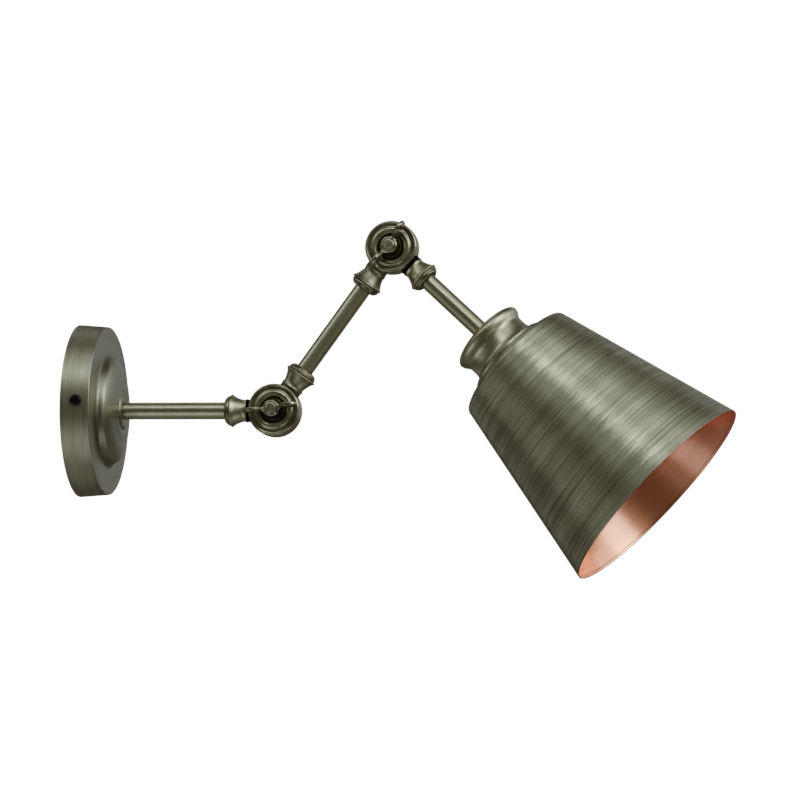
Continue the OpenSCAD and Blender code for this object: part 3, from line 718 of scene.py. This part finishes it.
collar = [(19.6, 0.0), (19.6, 7.95), (19.68, 8.12), (19.85, 8.2)] + [tuple(q) for q in spline(
    [(20.2, 8.1), (20.7, 7.9), (21.3, 7.73), (22.2, 7.65), (23.5, 7.92), (25, 8.42), (26.4, 8.95), (27.6, 9.5), (28.6, 10.1),
     (29.5, 10.8), (30.1, 11.28), (30.4, 11.42), (30.7, 11.28), (31.15, 10.6), (31.5, 10.0)], 0.3)] + [(31.5, 5.95), (23.9, 5.95), (23.9, 0.0)]
to_x = Matrix.Rotation(math.radians(90), 4, "Y")


def neck_outline(top):
    pts, r = [], 7.9
    a0, a1 = math.asin((SEAM + 0.0) / r), math.asin(min(1.0, top / r))
    for k in range(9):
        a = a0 + (a1 - a0) * k / 8
        pts.append((r * math.cos(a), r * math.sin(a)))
    for k in range(9):
        a = math.pi - a1 + (a1 - a0) * k / 8
        pts.append((r * math.cos(a), r * math.sin(a)))
    return pts


def knuckle_mesh(name, disc, top):
    body = lathe_mesh(name + "_disc", disc, 160)
    col = lathe_mesh(name + "_collar", collar, 80, closed=False)
    col.transform(to_x)
    neck = prism_mesh(name + "_neck", neck_outline(top), 16.3, 20.0)
    return combine(name, body, [neck, col], "UNION", 32)


front_mesh = knuckle_mesh("front_half", front_disc, 6.4)
rear_mesh = knuckle_mesh("rear_half", rear_disc, 5.1)
for name, mesh, m, body, node in (
        ("half_1_rear", rear_mesh, half_at(J1, math.pi, 1), "wall_base", "knuckle_1_rear"),
        ("half_1_front", front_mesh, half_at(J1, MID, -1), "mid_arm", "knuckle_1_front"),
        ("half_2_front", front_mesh, half_at(J2, MID + math.pi, -1), "mid_arm", "knuckle_2_front"),
        ("half_2_rear", rear_mesh, half_at(J2, -DIP, 1), "head", "knuckle_2_rear")):
    finish = {"half_1_rear": REAR_1, "half_2_rear": REAR_2, "half_2_front": DISC_SHADED_COLLAR}.get(name, DISC)
    piece(name, mesh.copy(), m, finish, body, node)

# ---------------------------------------------------------------- bolts and washers
bolt = [(-17.3, 0.0), (-17.3, 3.1), (-17.24, 3.5), (-17.08, 3.82), (-16.85, 4.0), (-16.6, 4.05), (-16.2, 4.05), (1.0, 4.0), (1.0, 5.4), (5.0, 5.4), (5.02, 8.3),
        (5.1, 8.52), (5.35, 8.6)] + [tuple(q) for q in spline([(5.6, 8.52), (6.2, 8.15), (6.9, 7.5), (7.6, 6.3), (8.1, 4.7), (8.4, 2.9),
                                                              (8.52, 1.3)], 0.3)] + [(8.55, 0.0)]
washer = rounded([(5.26, 4.1, 0.1), (5.26, 8.0, 0.25), (6.46, 8.0, 0.35), (6.46, 4.1, 0.1)])
for k, j, a, a2, body in ((1, J1, math.pi, "knuckle_1", "wall_base"), (2, J2, -DIP, "knuckle_2", "head")):
    piece(f"bolt_{k}", lathe_mesh(f"bolt_{k}", bolt, 64, closed=False), half_at(j, a, 1), HUB, body, a2 + "_bolt")
    piece(f"washer_{k}", lathe_mesh(f"washer_{k}", washer, 64), half_at(j, a, -1), PATINA, body, a2 + "_washer")


# ---------------------------------------------------------------- wing nuts
def wing_field(p):
    rho = np.hypot(p[:, 0], p[:, 1])
    hub = poly_distance(np.stack([rho, p[:, 2]], 1),
                        [(-8, 6.75), (6.6, 6.75), (6.65, 7.3), (5.95, 12), (5.5, 15.4), (4.9, 16.05), (-8, 16.05)]) - 0.25
    u = np.stack([np.abs(p[:, 0]), p[:, 2]], 1)
    ear = np.hypot(u[:, 0] - 13.1, u[:, 1] - 18.2) - 6.1
    web = poly_distance(u, [(2.0, 9.7), (7.0, 10.4), (11.2, 12.6), (14.5, 13.6), (12, 21.6), (9.6, 22.3), (7.8, 20.2), (6.6, 17.6),
                            (5.4, 15.0), (2.0, 14.2)])
    flat = smin(ear, web, 1.6)
    half = 1.36 + 0.35 * np.clip((8.5 - u[:, 0]) / 4.0, 0, 1) - 0.12 * np.clip((u[:, 0] - 12) / 7, 0, 1)
    r = 0.75
    w1, w2 = flat + r, np.abs(p[:, 1]) - half + r
    wing = np.minimum(np.maximum(w1, w2), 0) + np.hypot(np.maximum(w1, 0), np.maximum(w2, 0)) - r
    d = smin(hub, wing, 1.5)
    return smax(d, 4.08 - rho, 0.12)


wing_mesh = net_mesh("wing_nut", wing_field, (-20.4, -7.9, 5.6), (20.4, 7.9, 25.4), 0.32)
for k, j, turn_by in ((1, J1, 8.0), (2, J2, 55.0)):
    piece(f"wings_{k}", wing_mesh.copy(), half_at(j, math.radians(turn_by), -1), WING, f"wing_{k}", f"wing_nut_{k}")

# ---------------------------------------------------------------- cup
cup_out = [(85.2, 5.97), (85.2, 6.6)] + [tuple(q) for q in spline(
    [(85.3, 7.4), (85.95, 10), (87.1, 15), (88.4, 20), (89.5, 23.4), (90.6, 25.6), (91.8, 26.85), (93.1, 27.35), (94.4, 27.2),
     (95.7, 26.75), (96.9, 26.05), (98, 25.25), (99.2, 24.6), (100.6, 24.28), (103, 24.2), (105.5, 24.3), (107.6, 24.65), (109.1, 25.3),
     (110.2, 26.3), (111, 27.6), (111.5, 28.9), (111.85, 29.9)], 0.4)]
cup_lip = rounded([(111.9, 30.0), (112.2, 30.65, 0.35), (114.18, 30.65, 0.45), (114.18, 28.6)], closed=False)
cup_in = [(112.9, 28.3), (112.2, 26.9), (110.4, 24.7), (108.6, 23.5), (106, 23.05), (103, 22.9), (100.5, 22.95), (98.8, 23.4),
          (97.2, 24.3), (95.6, 25.3), (94, 25.95), (93, 26), (92.3, 25.6), (91.4, 24.4), (90.4, 21.8), (89.2, 17.4), (88.3, 13.8),
          (87, 9.5), (87, 5.97)]
piece("cup", lathe_mesh("cup", cup_out + [tuple(q) for q in cup_lip] + cup_in, 128), HEAD, CUP, "head", "shade_cup")

# ---------------------------------------------------------------- shade
shade_loop = rounded([(114.2, 20.3, 0.15), (114.2, 29.9, 2.0), (117.75, 43.0, 2.5), (119.4, 46.75, 3.4), (255.0, 77.85, 0.42),
                      (254.77, 76.87, 0.42), (253.2, 76.51, 0.25), (252.9, 76.62, 0.2), (120.3, 46.2, 3.0), (118.7, 42.7, 2.0),
                      (115.2, 29.6, 1.5), (115.2, 20.3, 0.15)], steps=8)
def lining(i, q):
    """The copper side of the shade's profile: inside the cone and under the shoulder."""
    s, r = float(q[0]), float(q[1])
    if s > 119.4:
        return 1 if r < 46.75 + (s - 119.4) * 0.22935 - 0.45 else 0
    return 1 if s > 114.7 and r < 29.9 + (s - 114.7) * 3.55 - 1.6 else 0


piece("shade_cone", lathe_mesh("shade_cone", shade_loop, 256, True, face_slot=lining), HEAD, [SHADE, COPPER], "head", "shade")

# ---------------------------------------------------------------- plain CAD pieces
for node, mat in (("wall_bracket", ZINC), ("plate_screws", BLACK_SCREW), ("terminal_block", WHITE), ("terminal_inserts", BRASS),
                  ("terminal_screws", ZINC), ("earth_screw", BRASS), ("earth_tag", ZINC), ("supply_cores", CORES),
                  ("wall_nipple", BRASS), ("nipple_washer", ZINC), ("nipple_nut", ZINC), ("knuckle_1_friction_disc", FIBRE),
                  ("knuckle_2_friction_disc", FIBRE), ("wall_flex", SHEATH), ("mid_flex", SHEATH), ("head_flex", SHEATH),
                  ("cup_nipple", BRASS), ("cup_washer", ZINC), ("cup_nut", ZINC), ("lampholder_cap", BLACK),
                  ("lampholder_insulator", CERAMIC), ("lampholder_terminals", BRASS), ("lampholder_cores", CORES),
                  ("centre_contact", BRASS), ("screw_shell", PLATED), ("lampholder_skirt", BLACK), ("shade_ring", BLACK)):
    mesh = nodes[node].data
    mesh.materials.clear()
    mesh.materials.append(mat)

# ---------------------------------------------------------------- floor, lights, surroundings
floor_z = -4.0
n = 64
ring = [(4.0 * math.cos(2 * math.pi * k / n), 4.0 * math.sin(2 * math.pi * k / n), 0.0) for k in range(n)]
floor_mesh = bpy.data.meshes.new("floor")
floor_mesh.from_pydata(ring, [], [tuple(range(n))])
floor = bpy.data.objects.new("floor", floor_mesh)
scene.collection.objects.link(floor)
floor.location = (0, 0, floor_z)
fm, ft, fs = new_material("floor_pale")
fs.inputs["Base Color"].default_value = (0.82, 0.82, 0.8, 1)
fs.inputs["Roughness"].default_value = 0.9
# the floor lies lower than any view's camera, is seen pale and fades into the background far out
fn = Net(ft)
pale = ft.nodes.new("ShaderNodeEmission")
pale.inputs["Color"].default_value = (1, 1, 0.99, 1)
fn.put(pale.inputs["Strength"], fn.remap(fn.vec("LENGTH", fn.object_mm()), 1900.0, 3900.0, 1.5, 2.1, smooth=True))
ray = ft.nodes.new("ShaderNodeLightPath")
show = ft.nodes.new("ShaderNodeMixShader")
ft.links.new(ray.outputs["Is Camera Ray"], show.inputs[0])
ft.links.new(fs.outputs["BSDF"], show.inputs[1])
ft.links.new(pale.outputs[0], show.inputs[2])
ft.links.new(show.outputs[0], ft.nodes["Material Output"].inputs["Surface"])
floor_mesh.materials.append(fm)

CENTRE = Vector((0.25, 0.0, 0.03))


def softbox(name, direction, distance, width, height, radiance):
    d = Vector(direction).normalized()
    light = bpy.data.lights.new(name, "AREA")
    light.shape, light.size, light.size_y = "RECTANGLE", width, height
    light.energy = math.pi * width * height * radiance
    light.color = COOL
    o = bpy.data.objects.new(name, light)
    scene.collection.objects.link(o)
    z = d
    x = Vector((0, 0, 1)).cross(z)
    x = (x if x.length > 1e-3 else Vector((1, 0, 0))).normalized()
    y = z.cross(x)
    m = Matrix((x, y, z)).transposed().to_4x4()
    m.translation = CENTRE + d * distance
    o.matrix_world = m
    o.visible_camera = False
    return o


def sky(azimuth, elevation):
    """Azimuth 0 is straight out in front, -Y, and 90 is +X."""
    a, e = math.radians(azimuth), math.radians(elevation)
    return (math.sin(a) * math.cos(e), -math.cos(a) * math.cos(e), math.sin(e))


COOL = (0.95, 1.0, 1.07)
# name, azimuth and elevation in degrees, width and height seen from the lamp in degrees, radiance
for name, azimuth, elevation, wide, high, radiance in (
        ("top", 3, 60, 44, 30, 0.61), ("key", 0, 40, 22, 14, 3.35), ("key_left", -54, 39, 42, 22, 1.03),
        ("middle", 30, 28, 28, 24, 0.84), ("top_right", 66, 50, 44, 20, 0.58), ("right", 62, 27, 28, 28, 2.5),
        ("right_low", 60, 2, 40, 14, 0.43), ("right_back", 95, 22, 34, 28, 1.45), ("back_right", 128, 24, 32, 26, 0.6),
        ("back", 168, 14, 44, 32, 0.2), ("back_high", 172, 43, 40, 20, 0.15), ("back_low", 142, -24, 40, 24, 0.06), ("left", -82, 17, 18, 18, 0.78), ("left_back", -130, 52, 30, 20, 0.42),
        ("low_left", -46, -46, 44, 32, 0.58), ("low_right", 62, -58, 34, 18, 0.76), ("low_front", -20, -30, 40, 16, 0.2),
        ("low_back", -126, -12, 40, 20, 0.17), ("under", 0, -86, 84, 84, 0.06)):
    softbox(name, sky(azimuth, elevation), 1.7, 3.4 * math.tan(math.radians(wide / 2)), 3.4 * math.tan(math.radians(high / 2)),
            radiance)

world = bpy.data.worlds.new("world")
scene.world = world
world.use_nodes = True
wt = world.node_tree
wt.nodes.clear()
wo = wt.nodes.new("ShaderNodeOutputWorld")
seen = wt.nodes.new("ShaderNodeBackground")
seen.inputs["Color"].default_value = (1, 1, 1, 1)
seen.inputs["Strength"].default_value = 2.1
lit = wt.nodes.new("ShaderNodeBackground")
lit.inputs["Color"].default_value = (1, 0.95, 0.82, 1)
lit.inputs["Strength"].default_value = 0.1
path = wt.nodes.new("ShaderNodeLightPath")
both = wt.nodes.new("ShaderNodeMixShader")
wt.links.new(path.outputs["Is Camera Ray"], both.inputs[0])
wt.links.new(lit.outputs[0], both.inputs[1])
wt.links.new(seen.outputs[0], both.inputs[2])
wt.links.new(both.outputs[0], wo.inputs["Surface"])
# a camera's tone curve: a little more contrast in the darks, and highlights that roll off instead of clipping
view = scene.view_settings
view.view_transform = "Standard"
view.use_curve_mapping = True
tone = view.curve_mapping
tone.use_clip = False
curve = tone.curves[3]
while len(curve.points) > 2:
    curve.points.remove(curve.points[1])
curve.points[0].location, curve.points[1].location = (0, 0), (2.2, 1.08)
for q in ((0.02, 0.0115), (0.05, 0.0395), (0.1, 0.095), (0.16, 0.16), (0.3, 0.3), (0.45, 0.42), (0.6, 0.52), (0.8, 0.63), (1.0, 0.72),
          (1.3, 0.83), (1.6, 0.92), (1.9, 1.0)):
    curve.points.new(*q)
tone.update()
